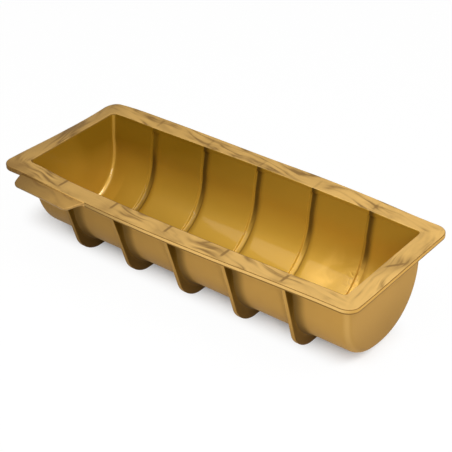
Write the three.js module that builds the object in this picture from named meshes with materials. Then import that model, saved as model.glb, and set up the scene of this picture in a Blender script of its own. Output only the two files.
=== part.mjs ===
// Silicone yule log mould: a half-round trough in bays, carried on ribs that form its feet,
// with a flat rim round the mouth and a pull tab on the front edge of the rim.
// Millimetres, +X along the log, +Y to the back, +Z up.
// The origin is the middle of the middle rib's foot, on the surface that the mould stands on.
import * as THREE from "three";

// Trough
const WALL = 2;                  // thickness of the trough's wall
const MOUTH_WIDTH = 74.4;        // inside the rim, at the two ends of the mouth
const SIDE_BOW = 2.6;            // the long sides swell outwards by this at mid-length
const WALL_TAPER = 2.2;          // the straight wall draws in by this on its way down
const STRAIGHT_WALL = 14.1;      // height of the straight wall under the rim
const ROUND_DEPTH = 36;          // depth of the half-round below the straight wall
const END_WALL = 2;              // thickness of the end walls
const END_DRAFT = 2;             // the end walls lean in by this at the bottom
const END_EDGE = 1.6;            // how far the end walls' edges are broken, outside

// Ribs, whose inner edges lie back from the bays and leave the slice grooves
const RIB_COUNT = 5;
const RIB_PITCH = 40;            // one slice
const END_BAY = 33.8;            // from the last rib to the end of the mouth
const RIB_THICKNESS = 3;
const GROOVE_DEPTH = 1;
const RIB_INSET = 2;             // from the rim's outer edge to the rib's
const FOOT_WIDTH = 37.6;         // flat part of a rib's foot
const FOOT_CORNER_RADIUS = 20;
const FOOT_CLEARANCE = 2.2;      // from the feet up to the underside of the trough

// Rim
const RIM_WIDTH = 11.8;
const RIM_THICKNESS = 2.2;
const RIM_CORNER_RADIUS = 9;

// Pull tab, which bends at its root along the rim's edge
const TAB_ROOT_WIDTH = 52;
const TAB_TIP_WIDTH = 43;
const TAB_LENGTH = 10.4;         // from the bending line to the tip
const TAB_THICKNESS = 1.7;
const TAB_CORNER_RADIUS = 4;
const TAB_FROM_RIB = -4;         // middle of the tab, along X from the first rib
const TAB_GAP = 0.3;             // clearance between the rounded root and the rim
const TAB_DROOP = 14;            // degrees that the tab hangs below the rim's plane

// Fineness of the curves
const ROUND_STEPS = 12;          // half the steps round the trough
const CORNER_STEPS = 8;
const BOW_STEPS = 24;

// Levels and lengths that follow
const TROUGH_UNDERSIDE = FOOT_CLEARANCE;
const ROUND_CENTRE = TROUGH_UNDERSIDE + WALL + ROUND_DEPTH;
const RIM_UNDERSIDE = ROUND_CENTRE + STRAIGHT_WALL;
const RIM_TOP = RIM_UNDERSIDE + RIM_THICKNESS;
const MOUTH_HALF_LENGTH = ((RIB_COUNT - 1) * RIB_PITCH) / 2 + END_BAY;
const RIM_HALF_LENGTH = MOUTH_HALF_LENGTH + RIM_WIDTH;
const RIM_HALF_WIDTH = MOUTH_WIDTH / 2 + RIM_WIDTH;
const RIM_STRAIGHT = RIM_HALF_LENGTH - RIM_CORNER_RADIUS;

const ribPlace = (number) => (number - (RIB_COUNT - 1) / 2) * RIB_PITCH;
const bowed = (x, reach) => SIDE_BOW * (1 - (x / reach) ** 2);
const mouthHalfWidth = (x) => MOUTH_WIDTH / 2 + bowed(x, MOUTH_HALF_LENGTH);
const rimHalfWidth = (x) => RIM_HALF_WIDTH + bowed(x, RIM_STRAIGHT);

function goldSilicone() {
  return new THREE.MeshStandardMaterial({ color: 0xb98a3c, roughness: 0.38, metalness: 0.45 });
}

function named(name, geometry) {
  const mesh = new THREE.Mesh(geometry, goldSilicone());
  mesh.name = name;
  return mesh;
}

// A closed solid through loops with equal counts of points, each loop flat enough to be capped
// from its points seen along the loft.
function loft(loops, flatten) {
  const count = loops[0].length;
  const corners = loops.flat().flatMap((point) => [point.x, point.y, point.z]);
  const faces = [];
  for (let ring = 0; ring < loops.length - 1; ring++) {
    for (let i = 0; i < count; i++) {
      const a = ring * count + i;
      const b = ring * count + ((i + 1) % count);
      faces.push(a, b, b + count, a, b + count, a + count);
    }
  }
  const last = (loops.length - 1) * count;
  for (const [a, b, c] of THREE.ShapeUtils.triangulateShape(loops[0].map(flatten), [])) {
    faces.push(a, c, b, last + a, last + b, last + c);
  }
  const geometry = new THREE.BufferGeometry();
  geometry.setAttribute("position", new THREE.Float32BufferAttribute(corners, 3));
  geometry.setIndex(faces);
  return geometry;
}

const alongX = (point) => new THREE.Vector2(point.y, point.z);
const at = (x) => (point) => new THREE.Vector3(x, point.x, point.y);

// The trough's section at x as an open path from the +Y top round to the -Y top,
// moved out from the inner face by the distance given.
function troughSection(x, outwards) {
  const top = mouthHalfWidth(x) + outwards;
  const round = top - WALL_TAPER;
  const path = new THREE.Path();
  path.moveTo(top, RIM_UNDERSIDE);
  path.lineTo(round, ROUND_CENTRE);
  path.absellipse(0, ROUND_CENTRE, round, ROUND_DEPTH + outwards, 0, -Math.PI, true);
  path.lineTo(-top, RIM_UNDERSIDE);
  return path.getPoints(ROUND_STEPS);
}

// The wall's section at x: outer face round from +Y to -Y, then back along the inner face.
function wallSection(x) {
  return [...troughSection(x, WALL).reverse(), ...troughSection(x, 0)];
}

// The end walls lean in towards the bottom, and the end bays stop at the same slope.
function leanIn(points, side) {
  const fall = RIM_UNDERSIDE - TROUGH_UNDERSIDE;
  for (const point of points) {
    point.x -= (side * END_DRAFT * (RIM_UNDERSIDE - point.z)) / fall;
  }
  return points;
}

function bayWall(number) {
  const half = RIB_THICKNESS / 2;
  const first = number === 0;
  const final = number === RIB_COUNT;
  const from = first ? -MOUTH_HALF_LENGTH : ribPlace(number - 1) + half;
  const to = final ? MOUTH_HALF_LENGTH : ribPlace(number) - half;
  const start = wallSection(from).map(at(from));
  const stop = wallSection(to).map(at(to));
  return loft([first ? leanIn(start, -1) : start, final ? leanIn(stop, 1) : stop], alongX);
}

function endWall(side) {
  const inside = side * MOUTH_HALF_LENGTH;
  const outside = inside + side * END_WALL;
  const face = (x, outwards) => {
    const outline = troughSection(inside, outwards).reverse();
    return leanIn(outline.map(at(x)), side);
  };
  const faces = [face(inside, WALL), face(outside, WALL - END_EDGE)];
  return loft(side > 0 ? faces : faces.reverse(), alongX);
}

// A rib's outline: legs that run straight from under the rim's edge to the rounded corners of
// the foot, and on the inside the trough's section moved out by the groove.
function supportRib(number) {
  const x = ribPlace(number);
  const top = rimHalfWidth(x) - RIB_INSET;
  const foot = FOOT_WIDTH / 2;
  const r = FOOT_CORNER_RADIUS;
  const rise = RIM_UNDERSIDE - r;
  const reach = Math.hypot(top - foot, rise);
  const tangent = Math.atan2(rise, top - foot) - Math.acos(r / reach);
  const outline = new THREE.Path();
  outline.moveTo(-top, RIM_UNDERSIDE);
  outline.lineTo(-foot - r * Math.cos(tangent), r + r * Math.sin(tangent));
  outline.absarc(-foot, r, r, Math.PI - tangent, 1.5 * Math.PI);
  outline.absarc(foot, r, r, -Math.PI / 2, tangent);
  outline.lineTo(top, RIM_UNDERSIDE);
  const loop = [...outline.getPoints(CORNER_STEPS), ...troughSection(x, GROOVE_DEPTH)];
  const half = RIB_THICKNESS / 2;
  return loft([loop.map(at(x - half)), loop.map(at(x + half))], alongX);
}

// The rim is a flat frame whose long sides swell as the trough's do.
function rimFlange() {
  const r = RIM_CORNER_RADIUS;
  const width = RIM_HALF_WIDTH;
  const outline = new THREE.Shape();
  outline.moveTo(-RIM_STRAIGHT, -width);
  outline.quadraticCurveTo(0, -width - 2 * SIDE_BOW, RIM_STRAIGHT, -width);
  outline.absarc(RIM_STRAIGHT, r - width, r, -Math.PI / 2, 0);
  outline.absarc(RIM_STRAIGHT, width - r, r, 0, Math.PI / 2);
  outline.quadraticCurveTo(0, width + 2 * SIDE_BOW, -RIM_STRAIGHT, width);
  outline.absarc(-RIM_STRAIGHT, width - r, r, Math.PI / 2, Math.PI);
  outline.absarc(-RIM_STRAIGHT, r - width, r, Math.PI, 1.5 * Math.PI);

  const mouth = new THREE.Path();
  const mouthWidth = MOUTH_WIDTH / 2;
  mouth.moveTo(-MOUTH_HALF_LENGTH, -mouthWidth);
  mouth.quadraticCurveTo(0, -mouthWidth - 2 * SIDE_BOW, MOUTH_HALF_LENGTH, -mouthWidth);
  mouth.lineTo(MOUTH_HALF_LENGTH, mouthWidth);
  mouth.quadraticCurveTo(0, mouthWidth + 2 * SIDE_BOW, -MOUTH_HALF_LENGTH, mouthWidth);
  mouth.closePath();
  outline.holes.push(mouth);

  const settings = { depth: RIM_THICKNESS, bevelEnabled: false, curveSegments: BOW_STEPS };
  const mesh = named("rim_flange", new THREE.ExtrudeGeometry(outline, settings));
  mesh.position.z = RIM_UNDERSIDE;
  return mesh;
}

// The tab seen in its own frame: the bending line is the X axis and the tip lies towards -Y.
// Its root is rounded about the bending line, and its sides draw in to rounded corners.
function pullTab() {
  const half = TAB_THICKNESS / 2;
  const corner = TAB_CORNER_RADIUS;
  const sideAt = (y) => {
    const share = -Math.min(y, 0) / TAB_LENGTH;
    return (TAB_ROOT_WIDTH + (TAB_TIP_WIDTH - TAB_ROOT_WIDTH) * share) / 2;
  };
  const slice = (y, side, thickness) => [
    new THREE.Vector3(-side, y, -thickness),
    new THREE.Vector3(-side, y, thickness),
    new THREE.Vector3(side, y, thickness),
    new THREE.Vector3(side, y, -thickness),
  ];
  const loops = [];
  for (let step = 0; step <= CORNER_STEPS; step++) {
    const turn = (Math.PI / 2) * (step / CORNER_STEPS);
    const y = -TAB_LENGTH + corner * (1 - Math.cos(turn));
    loops.push(slice(y, sideAt(y) - corner * (1 - Math.sin(turn)), half));
  }
  for (let step = 0; step < CORNER_STEPS; step++) {
    const turn = (Math.PI / 2) * (step / CORNER_STEPS);
    const y = half * Math.sin(turn);
    loops.push(slice(y, sideAt(y), half * Math.cos(turn)));
  }
  return loft(loops, (point) => new THREE.Vector2(point.z, point.x));
}

// The bending line runs beside the rim's front edge, along its slope there.
function tabHinge() {
  const x = ribPlace(0) + TAB_FROM_RIB;
  const slope = Math.atan((2 * SIDE_BOW * x) / RIM_STRAIGHT ** 2);
  const away = TAB_GAP + TAB_THICKNESS / 2;
  const line = new THREE.Group();
  line.position.set(
    x + away * Math.sin(slope),
    -rimHalfWidth(x) - away * Math.cos(slope),
    RIM_UNDERSIDE + TAB_THICKNESS / 2,
  );
  line.rotation.z = slope;
  const drooping = new THREE.Group();
  drooping.rotation.x = THREE.MathUtils.degToRad(TAB_DROOP);
  drooping.add(named("pull_tab", pullTab()));
  line.add(drooping);
  return line;
}

const mould = new THREE.Group();
mould.name = "yule_log_mould";
mould.add(rimFlange());
for (let number = 0; number <= RIB_COUNT; number++) {
  mould.add(named(`bay_wall_${number + 1}`, bayWall(number)));
}
for (let number = 0; number < RIB_COUNT; number++) {
  mould.add(named(`support_rib_${number + 1}`, supportRib(number)));
}
mould.add(named("end_wall_left", endWall(-1)));
mould.add(named("end_wall_right", endWall(1)));
mould.add(tabHinge());

export default mould;
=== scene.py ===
# %% [markdown]
# # A silicone yule log mould
#
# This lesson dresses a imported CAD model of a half-round cake mould. The real mould is one soft
# moulding of gold pearl silicone: a trough with a round bottom, a flat rim, five ribs that end
# in feet, two end walls and a small pull tab. The CAD solids have the right places but hard
# edges and flat faces. Here each of them gets a softer skin, modelled with Blender's own
# operators, and a material built from nodes.

# %% Load the CAD frame
import math

import bmesh
import bpy
from mathutils import Matrix, Vector


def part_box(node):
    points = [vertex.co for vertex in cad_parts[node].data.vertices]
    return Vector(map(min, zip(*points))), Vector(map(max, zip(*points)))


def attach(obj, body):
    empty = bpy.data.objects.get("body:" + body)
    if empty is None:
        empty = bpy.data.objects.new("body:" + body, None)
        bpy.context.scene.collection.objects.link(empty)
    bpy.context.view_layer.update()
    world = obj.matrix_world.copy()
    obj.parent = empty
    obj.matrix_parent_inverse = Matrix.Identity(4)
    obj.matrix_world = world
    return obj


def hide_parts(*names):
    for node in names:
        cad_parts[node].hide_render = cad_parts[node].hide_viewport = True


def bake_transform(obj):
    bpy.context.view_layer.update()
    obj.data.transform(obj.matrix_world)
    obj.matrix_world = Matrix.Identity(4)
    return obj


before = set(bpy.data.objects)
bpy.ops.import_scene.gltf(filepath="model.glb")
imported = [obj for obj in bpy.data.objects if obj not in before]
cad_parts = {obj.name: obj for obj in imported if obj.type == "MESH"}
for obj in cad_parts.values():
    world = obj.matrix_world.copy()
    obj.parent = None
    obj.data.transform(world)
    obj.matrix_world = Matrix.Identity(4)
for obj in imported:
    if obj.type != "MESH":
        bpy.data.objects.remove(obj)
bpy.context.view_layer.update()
MM = 0.001

# %% [markdown]
# ## The camera
#
# The camera comes first, because every later choice is judged through it. Its place was worked
# out from the corners of the mouth and the feet of the ribs. A matrix of three turns sets it: the
# azimuth about the upright axis, the elevation, and a very small roll. A long lens keeps the
# mould's sides nearly parallel, as a product picture does.

# %% Make the camera
LENS = 111.464
SENSOR = 36
EYE = Vector((0.42906, -0.53263, 0.48321))
AZIMUTH, ELEVATION, ROLL = (math.radians(angle) for angle in (38.4552, 33.2433, -0.8412))

bpy.ops.object.camera_add()
camera = bpy.context.object
camera.data.lens = LENS
camera.data.sensor_width = SENSOR
camera.matrix_world = (
    Matrix.Translation(EYE)
    @ Matrix.Rotation(AZIMUTH, 4, "Z")
    @ Matrix.Rotation(math.pi / 2 - ELEVATION, 4, "X")
    @ Matrix.Rotation(ROLL, 4, "Z")
)
bpy.context.scene.camera = camera
print("camera", round(EYE.length, 3), "m from the foot of the mould")

# %% [markdown]
# ## Sizes from the frame
#
# Nothing is measured twice. The CAD boxes give the length and width of the mouth, the height of
# the rim and the place of each rib. The skin is modelled with straight sides, because straight
# shapes are easy to build, and one lattice at the end gives all pieces the same soft bow.

# %% Read the main sizes
WALL = 2 * MM
rim_low, rim_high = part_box("rim_flange")
end_low, end_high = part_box("end_wall_right")
RIM_TOP = rim_high.z
RIM_UNDERSIDE = rim_low.z
MOUTH_HALF_LENGTH = end_high.x - WALL
MOUTH_HALF_WIDTH = end_high.y - WALL
RIM_WIDTH = rim_high.x - MOUTH_HALF_LENGTH
RIM_HALF_WIDTH = MOUTH_HALF_WIDTH + RIM_WIDTH
TROUGH_BOTTOM = end_low.z + WALL
RIB_NAMES = [f"support_rib_{number}" for number in range(1, 6)]
RIB_PLACES = [sum(corner.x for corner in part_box(name)) / 2 for name in RIB_NAMES]
print("mouth", [round(2 * half / MM, 1) for half in (MOUTH_HALF_LENGTH, MOUTH_HALF_WIDTH)], "mm")
print("ribs at", [round(place / MM) for place in RIB_PLACES], "mm")

# %% [markdown]
# ## Small helpers
#
# An operator acts on what is selected, so most steps begin with a selection. `pick` selects the
# vertices, edges or faces whose middle passes a test, which is what a box select does by hand.
# `grow` extrudes the selection by a step, and `scale_about` resizes it about a point.

# %% Select by place or normal
KINDS = {"VERT": "verts", "EDGE": "edges", "FACE": "faces"}


def make_active(piece):
    bpy.ops.object.select_all(action="DESELECT")
    piece.select_set(True)
    bpy.context.view_layer.objects.active = piece


def close_edit():
    if bpy.context.object and bpy.context.object.mode != "OBJECT":
        bpy.ops.object.mode_set(mode="OBJECT")


def open_edit(piece):
    close_edit()
    make_active(piece)
    bpy.ops.object.mode_set(mode="EDIT")


def select_all():
    bpy.ops.mesh.select_all(action="SELECT")


def middle(part):
    if isinstance(part, bmesh.types.BMVert):
        return part.co
    return sum((vertex.co for vertex in part.verts), Vector()) / len(part.verts)


def pick(piece, kind, test):
    bpy.ops.mesh.select_mode(type=kind)
    bpy.ops.mesh.select_all(action="DESELECT")
    mesh = bmesh.from_edit_mesh(piece.data)
    mesh.normal_update()
    count = 0
    for part in getattr(mesh, KINDS[kind]):
        if test(part, middle(part)):
            part.select_set(True)
            count += 1
    mesh.select_flush_mode()
    bmesh.update_edit_mesh(piece.data)
    return count


print("pick can select", list(KINDS.values()))

# %% Shape what is selected, and name a new piece


def grow(step=(0, 0, 0)):
    bpy.ops.mesh.extrude_region_move(TRANSFORM_OT_translate={"value": step})


def scale_about(factors, centre):
    bpy.ops.transform.resize(value=factors, center_override=centre)


def new_piece(name):
    piece = bpy.context.object
    piece.name = name
    piece.data.name = name
    bpy.ops.object.transform_apply(location=True, rotation=True, scale=True)
    return piece


print("shaping helpers ready")

# %% [markdown]
# ## The section of the trough
#
# Cut across, the trough is a half round with short upright walls above it. A circle gives the
# round: its upper half is deleted, and a power below one pushes the rest outwards, because the
# real round is a little fuller than a circle. It is stretched to the trough's width and depth, and
# its two ends are extruded upwards in a few steps, a little wider at each. The last step goes into
# the rim, so no gap shows there. The same section later makes the tool that cuts the ribs.

# %% Half a circle, a little fuller
ROUND_STEPS = 36
FULLNESS = 0.9
HAIR = 0.01 * MM


def fuller_half_circle(name):
    bpy.ops.mesh.primitive_circle_add(
        vertices=2 * ROUND_STEPS, radius=1, rotation=(0, math.pi / 2, 0)
    )
    section = new_piece(name)
    open_edit(section)
    pick(section, "VERT", lambda vertex, at: at.z > HAIR)
    bpy.ops.mesh.delete(type="VERT")
    mesh = bmesh.from_edit_mesh(section.data)
    for vertex in mesh.verts:
        vertex.co.y = math.copysign(abs(vertex.co.y) ** FULLNESS, vertex.co.y)
        vertex.co.z = -(abs(vertex.co.z) ** FULLNESS)
    bmesh.update_edit_mesh(section.data)
    return section


print("half circle of", ROUND_STEPS, "steps, power", FULLNESS)

# %% The whole section, with its upright walls
STRAIGHT_WALL = 14.1 * MM
WALL_TAPER = 2.2 * MM
WALL_STEPS = 4
SUNK = 1 * MM
ROUND_CENTRE = RIM_UNDERSIDE - STRAIGHT_WALL
ROUND_HALF_WIDTH = MOUTH_HALF_WIDTH - WALL_TAPER
ROUND_DEPTH = ROUND_CENTRE - TROUGH_BOTTOM
SECTION_TOP = RIM_UNDERSIDE + SUNK
SECTION_DEPTH = SECTION_TOP - TROUGH_BOTTOM


def half_round(name, place):
    """The section at one place along the mould, all of it selected."""
    section = fuller_half_circle(name)
    select_all()
    scale_about((1, ROUND_HALF_WIDTH, ROUND_DEPTH), (0, 0, 0))
    bpy.ops.transform.translate(value=(place, 0, ROUND_CENTRE))
    pick(section, "VERT", lambda vertex, at: at.z > ROUND_CENTRE - HAIR)
    slope = WALL_TAPER / STRAIGHT_WALL
    half = ROUND_HALF_WIDTH
    for rise in [STRAIGHT_WALL / WALL_STEPS] * WALL_STEPS + [SUNK]:
        grow((0, 0, rise))
        scale_about((1, (half + slope * rise) / half, 1), (place, 0, 0))
        half += slope * rise
    bpy.ops.mesh.select_mode(type="EDGE")
    select_all()
    return section


print("section", round(SECTION_DEPTH / MM, 1), "mm deep")

# %% [markdown]
# ## The trough's skin
#
# The trough could be cut from a block, but silicone has no sharp inner edges, so it is drawn as a
# thin sheet first. The section is extruded along the mould station by station. At each rib it
# grows by about a millimetre and shrinks again, which leaves the groove between two slices of
# cake. On the real mould the groove's left edge is steep and its right side long and soft, so the
# stations lie close together on the left and follow a fading curve on the right.

# %% Places and depths across a groove
GROOVE_EDGE = 1.1 * MM
GROOVE_DEPTH = 1.3 * MM
GROOVE_LEFT = 2.2 * MM
GROOVE_LEAD = 0.4 * MM
LEFT_FLANK = 0.9 * MM
GROOVE_RIGHT = 1.3 * MM
RIGHT_FLANK = 5.5 * MM
FLANK_STEPS = 7
FLANK_FADE = 2.4
FLOOR_HALF = 0.4 * MM


def smooth_step(share):
    return share * share * (3 - 2 * share)


def groove_stations(place):
    shares = [step / FLANK_STEPS for step in range(FLANK_STEPS + 1)]
    left = [(place - GROOVE_LEFT - GROOVE_LEAD, 0)]
    left += [
        (place - GROOVE_LEFT + LEFT_FLANK * share, GROOVE_EDGE * smooth_step(share))
        for share in shares
    ]
    right = [
        (place + GROOVE_RIGHT + RIGHT_FLANK * share, GROOVE_DEPTH * (1 - share) ** FLANK_FADE)
        for share in shares
    ]
    depth = (GROOVE_EDGE + GROOVE_DEPTH) / 2
    floor = [(place + aside, depth) for aside in (-FLOOR_HALF, 0, FLOOR_HALF)]
    return left + floor + right


print("stations in a groove:", len(groove_stations(0)))

# %% Stations along the mould
BAY_STEPS = 4
END_FILLET = 3 * MM
SEAM_BACK = 5 * MM
seam_end = MOUTH_HALF_LENGTH - END_FILLET - SEAM_BACK

stations = [(-seam_end, 0)]
for place in RIB_PLACES:
    groove = groove_stations(place)
    start = stations[-1][0]
    span = groove[0][0] - start
    stations += [(start + span * step / BAY_STEPS, 0) for step in range(1, BAY_STEPS)]
    stations += groove
start = stations[-1][0]
span = seam_end - start
stations += [(start + span * step / BAY_STEPS, 0) for step in range(1, BAY_STEPS + 1)]
print(len(stations), "stations from", round(-seam_end / MM), "to", round(seam_end / MM), "mm")

# %% Extrude the sheet along the mould


def set_off(before, after, place):
    """Move a selected section from one distance outside the trough's inside to another."""
    wider = (MOUTH_HALF_WIDTH + after) / (MOUTH_HALF_WIDTH + before)
    deeper = (SECTION_DEPTH + after) / (SECTION_DEPTH + before)
    scale_about((1, wider, deeper), (place, 0, SECTION_TOP))


sheet = half_round("trough_sheet", stations[0][0])
for (last, before), (place, after) in zip(stations, stations[1:]):
    grow((place - last, 0, 0))
    set_off(before, after, place)
print("sheet of", len(bmesh.from_edit_mesh(sheet.data).verts), "vertices before the ends")

# %% [markdown]
# ## The two ends
#
# The ends of the trough are flat walls with a small round where they meet the trough. The last
# section could simply be filled, but that would leave a hard corner. So it is extruded and shrunk
# along a quarter circle, then shrunk in a few rings and closed by a face. Both walls lean in
# towards the bottom, so that the cake slips out, the right one much less than the left.

# %% Round off and close an end
FILLET_STEPS = 6
END_RINGS = (-10 * MM, -18 * MM, -26 * MM, -33 * MM)
LEFT_DRAFT = math.radians(4.2)
RIGHT_DRAFT = math.radians(0.4)


def close_end(side):
    pick(sheet, "VERT", lambda vertex, at: abs(at.x - side * seam_end) < HAIR)
    bpy.ops.mesh.select_mode(type="EDGE")
    grow((side * SEAM_BACK, 0, 0))
    depth = 0
    for step in range(1, FILLET_STEPS + 1):
        angle = math.pi / 2 * step / FILLET_STEPS
        last_angle = math.pi / 2 * (step - 1) / FILLET_STEPS
        grow((side * END_FILLET * (math.sin(angle) - math.sin(last_angle)), 0, 0))
        inward = -END_FILLET * (1 - math.cos(angle))
        set_off(depth, inward, side * MOUTH_HALF_LENGTH)
        depth = inward
    for inward in END_RINGS:
        grow()
        set_off(depth, inward, side * MOUTH_HALF_LENGTH)
        depth = inward
    bpy.ops.mesh.edge_face_add()


def lean_end(side, draft):
    pick(sheet, "VERT", lambda vertex, at: side * at.x > seam_end + HAIR)
    mesh = bmesh.from_edit_mesh(sheet.data)
    for vertex in mesh.verts:
        if vertex.select:
            vertex.co.x -= side * math.tan(draft) * (SECTION_TOP - vertex.co.z)
    bmesh.update_edit_mesh(sheet.data)


for side, draft in ((-1, LEFT_DRAFT), (1, RIGHT_DRAFT)):
    close_end(side)
    lean_end(side, draft)
print("sheet closed,", len(bmesh.from_edit_mesh(sheet.data).faces), "faces")

# %% Turn the sheet's normals inwards and up
select_all()
bpy.ops.mesh.remove_doubles(threshold=HAIR)
bpy.ops.mesh.normals_make_consistent(inside=False)
faces = bmesh.from_edit_mesh(sheet.data).faces
lowest = min(faces, key=lambda face: middle(face).z)
if lowest.normal.z < 0:
    bpy.ops.mesh.flip_normals()
print(len(faces), "faces, floor normal turned up")

# %% [markdown]
# ## Cutting the sheet into zones
#
# The CAD model has a node for each slice and each end wall, and every node gets a skin of its
# own. The sheet is split along the middle of each groove and just before each end fillet, where
# it is straight, so the normals on both sides of a seam agree and no line shows. Then Solidify
# gives each zone the wall's two millimetres, outwards from the inside surface.

# %% Separate the zones
SEAMS = [-seam_end] + RIB_PLACES + [seam_end]
BAYS = [f"bay_wall_{number}" for number in range(1, 7)]
ZONES = ["end_wall_left"] + BAYS + ["end_wall_right"]
skins = {}

limits = [-math.inf] + SEAMS + [math.inf]
for zone, low, high in zip(ZONES, limits, limits[1:]):
    open_edit(sheet)
    bpy.ops.mesh.select_all(action="DESELECT")
    last_zone = zone == ZONES[-1]
    if not last_zone:
        pick(sheet, "FACE", lambda face, at: low < at.x < high)
        bpy.ops.mesh.separate(type="SELECTED")
    close_edit()
    made = [piece for piece in bpy.context.selected_objects if piece is not sheet]
    skin = sheet if last_zone else made[0]
    skin.name = skin.data.name = zone.replace("_wall", "_skin")
    skins[zone] = skin
print("zones:", [skin.name for skin in skins.values()])

# %% Give the zones their thickness
blank = bpy.data.materials.new("blank")


def apply_modifier(piece, kind, **settings):
    make_active(piece)
    modifier = piece.modifiers.new(kind.lower(), kind)
    for name, value in settings.items():
        setattr(modifier, name, value)
    bpy.ops.object.modifier_apply(modifier=modifier.name)


for skin in skins.values():
    skin.data.materials.append(blank)
    skin.data.materials.append(blank)
    apply_modifier(
        skin,
        "SOLIDIFY",
        thickness=WALL,
        offset=-1,
        use_even_offset=True,
        material_offset=1,
        material_offset_rim=1,
    )
print("faces of the walls:", [len(skin.data.polygons) for skin in skins.values()])

# %% [markdown]
# ## A tool for the ribs
#
# The ribs follow the trough from outside. Their inner edge could be drawn point by point, but the
# section is there already: grown by the wall and the rib's soft root, closed and extruded along
# the mould, it is the tool that cuts all of that edge in one go.

# %% Cutter for the ribs
RIB_ROOT = 2.8 * MM
cut_depth = WALL + RIB_ROOT


def ring_off(before, after, place, thicken=1):
    """Move a section to another distance about its round's centre, which keeps it more even."""
    wider = (ROUND_HALF_WIDTH + after) / (ROUND_HALF_WIDTH + before)
    deeper = (ROUND_DEPTH + after) / (ROUND_DEPTH + before)
    scale_about((thicken, wider, deeper), (place, 0, ROUND_CENTRE))


cutter = half_round("rib_cutter", RIB_PLACES[0] - RIM_WIDTH)
ring_off(0, cut_depth, RIB_PLACES[0])
pick(cutter, "VERT", lambda vertex, at: at.z > SECTION_TOP - HAIR)
grow((0, 0, RIM_WIDTH))
select_all()
bpy.ops.mesh.edge_face_add()
grow((RIB_PLACES[-1] - RIB_PLACES[0] + 2 * RIM_WIDTH, 0, 0))
select_all()
bpy.ops.mesh.normals_make_consistent(inside=False)
close_edit()
print("cutter faces:", len(cutter.data.polygons))

# %% [markdown]
# ## The ribs
#
# A rib is a plate under the rim that follows the trough and ends in a flat foot. It starts as one
# plane in its outline: narrower at the foot, with big round corners. The plane is extruded to the
# rib's thickness, its edges are bevelled, and the tool is cut out of it. The cut face is then
# extruded towards the wall in steps that widen along a quarter circle. That is the soft root that
# silicone needs to leave its own tool. One rib is modelled, and the others are copies of it.

# %% How wide a rib's outline is at the floor
RIB_INSET = 3 * MM
FOOT_HALF_WIDTH = 18.8 * MM
FOOT_CORNER = 17.3 * MM
HALVINGS = 60
rib_top_half = RIM_HALF_WIDTH - RIB_INSET


def leg_foot():
    """Half-width at the floor before the corner is rounded, found by halving."""
    low, high = FOOT_HALF_WIDTH, rib_top_half
    for _ in range(HALVINGS):
        half = (low + high) / 2
        lean = math.atan2(rib_top_half - half, SECTION_TOP)
        reach = half - FOOT_CORNER * math.tan((math.pi / 2 - lean) / 2)
        low, high = (half, high) if reach < FOOT_HALF_WIDTH else (low, half)
    return half


foot = leg_foot()
print("rib outline", round(2 * foot / MM, 1), "mm wide at the floor")

# %% Model one rib
RIB_THICKNESS = 3 * MM
RIB_EDGE = 0.5 * MM
FOOT_CORNER_STEPS = 14
EDGE_STEPS = 4


def rib_outline(place):
    bpy.ops.mesh.primitive_plane_add(
        size=1, location=(place - RIB_THICKNESS / 2, 0, 0.5), rotation=(0, math.pi / 2, 0)
    )
    rib = new_piece("rib_skin_1")
    open_edit(rib)
    scale_about((1, 2 * rib_top_half, SECTION_TOP), (place, 0, 0))
    pick(rib, "VERT", lambda vertex, at: at.z < HAIR)
    scale_about((1, foot / rib_top_half, 1), (place, 0, 0))
    bpy.ops.mesh.bevel(
        offset=foot - FOOT_HALF_WIDTH,
        offset_type="OFFSET",
        affect="VERTICES",
        segments=FOOT_CORNER_STEPS,
        clamp_overlap=False,
    )
    return rib


def on_rib_face(edge, at):
    return abs(abs(at.x - RIB_PLACES[0]) - RIB_THICKNESS / 2) < HAIR


first_rib = rib_outline(RIB_PLACES[0])
select_all()
grow((RIB_THICKNESS, 0, 0))
select_all()
bpy.ops.mesh.normals_make_consistent(inside=False)
pick(first_rib, "EDGE", on_rib_face)
bpy.ops.mesh.bevel(offset=RIB_EDGE, affect="EDGES", segments=EDGE_STEPS)
close_edit()
apply_modifier(first_rib, "BOOLEAN", object=cutter, operation="DIFFERENCE", solver="EXACT")
bpy.data.objects.remove(cutter)
print("rib faces before its root:", len(first_rib.data.polygons))

# %% Widen the rib's root
ROOT_STEPS = 7
ROOT_SINK = 0.12 * MM
ROOT_SPREAD = 5 * ROOT_SINK
MOST_SIDEWAYS = 0.3
LEAST_TOWARDS = 0.2


def faces_trough(face, at):
    towards = (Vector((RIB_PLACES[0], 0, ROUND_CENTRE)) - at).normalized()
    return abs(face.normal.x) < MOST_SIDEWAYS and face.normal.dot(towards) > LEAST_TOWARDS


open_edit(first_rib)
select_all()
bpy.ops.mesh.remove_doubles(threshold=HAIR)
print("faces widened at the root:", pick(first_rib, "FACE", faces_trough))
outside, half = cut_depth, RIB_THICKNESS / 2
for step in range(1, ROOT_STEPS + 1):
    angle = math.pi / 2 * step / ROOT_STEPS
    after = WALL + RIB_ROOT * (1 - math.sin(angle))
    wide = RIB_THICKNESS / 2 + RIB_ROOT * (1 - math.cos(angle))
    grow()
    ring_off(outside, after, RIB_PLACES[0], wide / half)
    outside, half = after, wide
grow()
ring_off(outside, WALL - ROOT_SINK, RIB_PLACES[0], (half + ROOT_SPREAD) / half)
close_edit()

# %% Copy the rib
ribs = [first_rib]
for number, place in enumerate(RIB_PLACES[1:], start=2):
    make_active(first_rib)
    bpy.ops.object.duplicate()
    bpy.context.object.location.x = place - RIB_PLACES[0]
    ribs.append(new_piece(f"rib_skin_{number}"))
lowest = min(vertex.co.z for vertex in first_rib.data.vertices)
print("ribs:", [rib.name for rib in ribs], "lowest point", round(lowest / MM, 3), "mm")

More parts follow.
